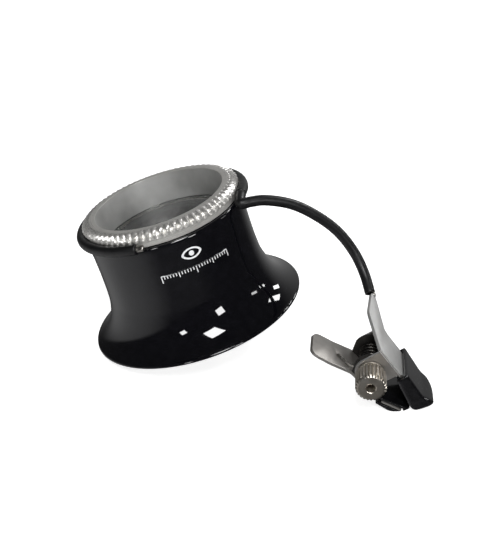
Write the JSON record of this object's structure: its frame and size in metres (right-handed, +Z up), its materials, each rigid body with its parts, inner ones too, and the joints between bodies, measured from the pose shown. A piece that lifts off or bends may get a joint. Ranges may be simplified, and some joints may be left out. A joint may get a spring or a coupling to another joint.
{
  "type": "watchmaker eye loupe with spectacle clip",
  "caption": "Flared black eye loupe with knurled lens ring, sleeved spring-wire arm and sprung spectacle clip.",
  "frame": {"origin": "middle of the box's base, on the table that the eyecup's edge and the clip's jaw tips touch", "axes": "+Z up from the table, +X from the loupe to the clip, +Y away from the side with the free end of the wire ring"},
  "size_m": [0.0598, 0.0478, 0.0304],
  "materials": {
    "black_plastic": "gloss",
    "aluminium": "satin",
    "lens_glass": "polished",
    "spring_steel": "bright",
    "black_vinyl": "semi-gloss",
    "stainless": "brushed",
    "nickel": "satin"
  },
  "bodies": {
    "barrel": {"eyecup_barrel": "black_plastic"},
    "lens_cell": {"lens": "lens_glass", "lens_retaining_ring": "spring_steel"},
    "lens_ring": {"lens_ring": "aluminium"},
    "clip_arm": {"spring_wire": "spring_steel", "ring_sleeve": "black_vinyl", "arm_sleeve": "black_vinyl", "clip_bracket": "stainless", "fixed_jaw_sleeve": "black_vinyl", "pivot_stud": "nickel", "torsion_spring": "spring_steel"},
    "jaw_lever": {"lever_plate": "stainless", "moving_jaw_sleeve": "black_vinyl"},
    "nut_washer": {"nut_washer": "nickel"},
    "knurled_nut": {"knurled_nut": "nickel"}
  },
  "joints": [
    {"name": "ring_swivel", "type": "hinge", "parent": "barrel", "child": "clip_arm", "pos_m": [-0.01516, 0.005, 0.02466], "axis": [-0.289, 0, 0.9573], "continuous": true},
    {"name": "cell_lift", "type": "slide", "parent": "barrel", "child": "lens_cell", "axis": [-0.289, 0, 0.9573], "range_m": [0, 0.003]},
    {"name": "lens_ring_turn", "type": "hinge", "parent": "lens_cell", "child": "lens_ring", "pos_m": [-0.01514, 0.005, 0.02459], "axis": [-0.289, 0, 0.9573], "range_deg": [0, 1441]},
    {"name": "jaw_pivot", "type": "hinge", "parent": "clip_arm", "child": "jaw_lever", "pos_m": [0.01887, -0.0191, 0.00688], "axis": [0.1063, 0.9943, 0], "range_deg": [0, 30], "stiffness_Nm_per_rad": 0.0005, "springref_deg": -20.05, "deforming": ["torsion_spring"]},
    {"name": "washer_travel", "type": "slide", "parent": "clip_arm", "child": "nut_washer", "axis": [-0.1063, -0.9943, 0], "range_m": [0, 0.001]},
    {"name": "nut_turn", "type": "hinge", "parent": "nut_washer", "child": "knurled_nut", "pos_m": [0.01887, -0.0191, 0.00688], "axis": [-0.1063, -0.9943, 0], "range_deg": [0, 721]}
  ],
  "couplings": [
    {"joint": "lens_ring_turn", "follows": "cell_lift", "rad_per_m": 8377.6},
    {"joint": "nut_turn", "follows": "washer_travel", "rad_per_m": 12566}
  ]
}
